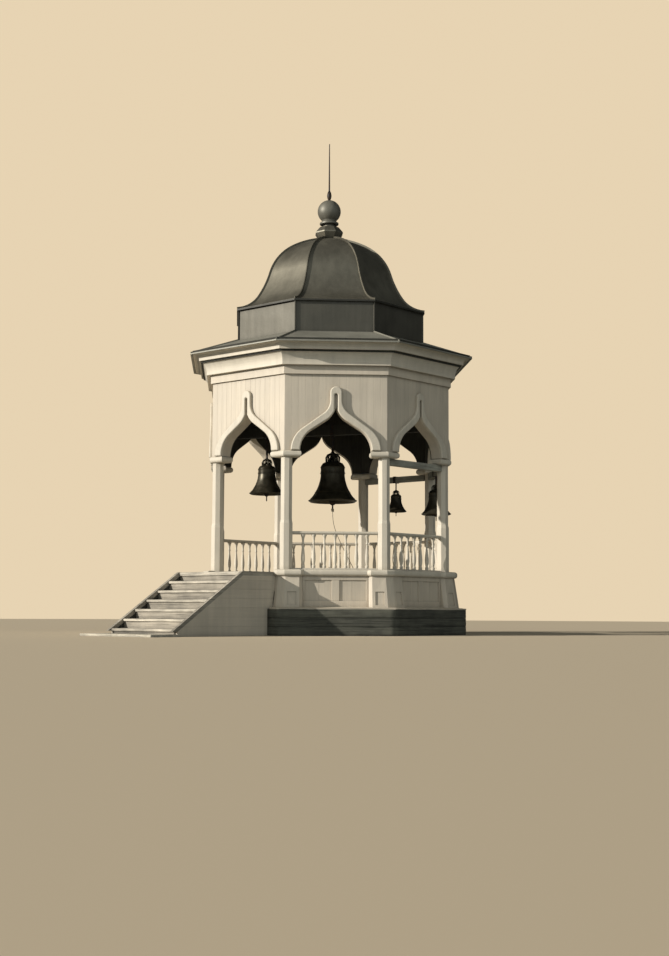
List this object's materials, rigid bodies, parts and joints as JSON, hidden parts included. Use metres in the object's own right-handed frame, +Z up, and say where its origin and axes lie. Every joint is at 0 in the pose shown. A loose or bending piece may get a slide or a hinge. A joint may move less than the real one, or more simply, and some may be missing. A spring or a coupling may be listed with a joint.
{
  "type": "wooden bell tower",
  "caption": "Octagonal wooden bell tower on a boarded pedestal, with open keel-arched bays, balustrades, a stair, hanging bells and a ribbed onion dome with ball and spire.",
  "frame": {"origin": "middle of the overall box's bottom, on the ground; the tower's own axis stands at y = 1.36 m", "axes": "+Z up, -Y towards the stair, +X to the right of someone who climbs the stair"},
  "size_m": [5.47, 8.19, 9.9552],
  "materials": {
    "painted_boards": "weathered cream paint on boards",
    "painted_trim": "weathered light cream paint on joinery",
    "weathered_timber": "rough dark weathered squared timber",
    "weathered_boards": "worn bare boards",
    "dark_timber": "unpainted interior timber",
    "roof_metal": "dull grey painted sheet with standing seams",
    "ball_metal": "satin sheet metal",
    "bell_bronze": "dark oxidised bronze",
    "iron": "dark forged iron",
    "rope": "twisted hemp rope"
  },
  "bodies": {
    "tower": {"arch_mouldings": "painted_trim", "arch_wall_1": "painted_boards", "arch_wall_2": "painted_boards", "arch_wall_3": "painted_boards", "arch_wall_4": "painted_boards", "arch_wall_5": "painted_boards", "arch_wall_6": "painted_boards", "arch_wall_7": "painted_boards", "arch_wall_8": "painted_boards", "balustrade_1": "painted_trim", "balustrade_2": "painted_trim", "balustrade_3": "painted_trim", "balustrade_4": "painted_trim", "balustrade_5": "painted_trim", "balustrade_6": "painted_trim", "balustrade_7": "painted_trim", "bell_1": "bell_bronze", "bell_2": "bell_bronze", "bell_3": "bell_bronze", "bell_4": "bell_bronze", "bell_hangers": "iron", "bell_rope": "rope", "capitals": "painted_trim", "ceiling": "dark_timber", "crown_moulding": "painted_trim", "dome": "roof_metal", "drum": "roof_metal", "fascia": "painted_trim", "finial_ball": "ball_metal", "finial_collar": "roof_metal", "floor": "weathered_boards", "floor_ring": "iron", "foundation_course_1": "weathered_timber", "foundation_course_2": "weathered_timber", "foundation_course_3": "weathered_timber", "frieze": "painted_trim", "ground_board": "weathered_boards", "main_beam": "dark_timber", "pedestal_panels": "painted_boards", "pedestal_piers": "painted_boards", "pedestal_sill": "painted_trim", "posts": "painted_trim", "roof_skirt": "roof_metal", "soffit": "painted_trim", "spire": "iron", "stair_cheek_left": "painted_boards", "stair_cheek_right": "painted_boards", "stair_copings": "painted_trim", "stair_landing": "weathered_boards", "stair_risers": "painted_boards", "stair_treads": "weathered_boards", "tie_beams": "dark_timber", "wall_lining": "dark_timber"},
    "clapper_1": {"clapper_1": "iron"},
    "clapper_2": {"clapper_2": "iron"},
    "clapper_3": {"clapper_3": "iron"},
    "clapper_4": {"clapper_4": "iron"}
  },
  "joints": [
    {"name": "clapper_1_swing", "type": "hinge", "parent": "tower", "child": "clapper_1", "pos_m": [0.09239, 1.39827, 3.2776], "axis": [-0.6691, 0.7431, 0], "range_deg": [-25, 25]},
    {"name": "clapper_2_swing", "type": "hinge", "parent": "tower", "child": "clapper_2", "pos_m": [-1.21305, 0.85754, 3.2849], "axis": [-0.3827, 0.9239, 0], "range_deg": [-25, 25]},
    {"name": "clapper_3_swing", "type": "hinge", "parent": "tower", "child": "clapper_3", "pos_m": [0, 3.5385, 2.845], "axis": [-1, 0, 0], "range_deg": [-25, 25]},
    {"name": "clapper_4_swing", "type": "hinge", "parent": "tower", "child": "clapper_4", "pos_m": [1.54043, 2.90043, 2.79], "axis": [-0.7071, 0.7071, 0], "range_deg": [-25, 25]}
  ]
}
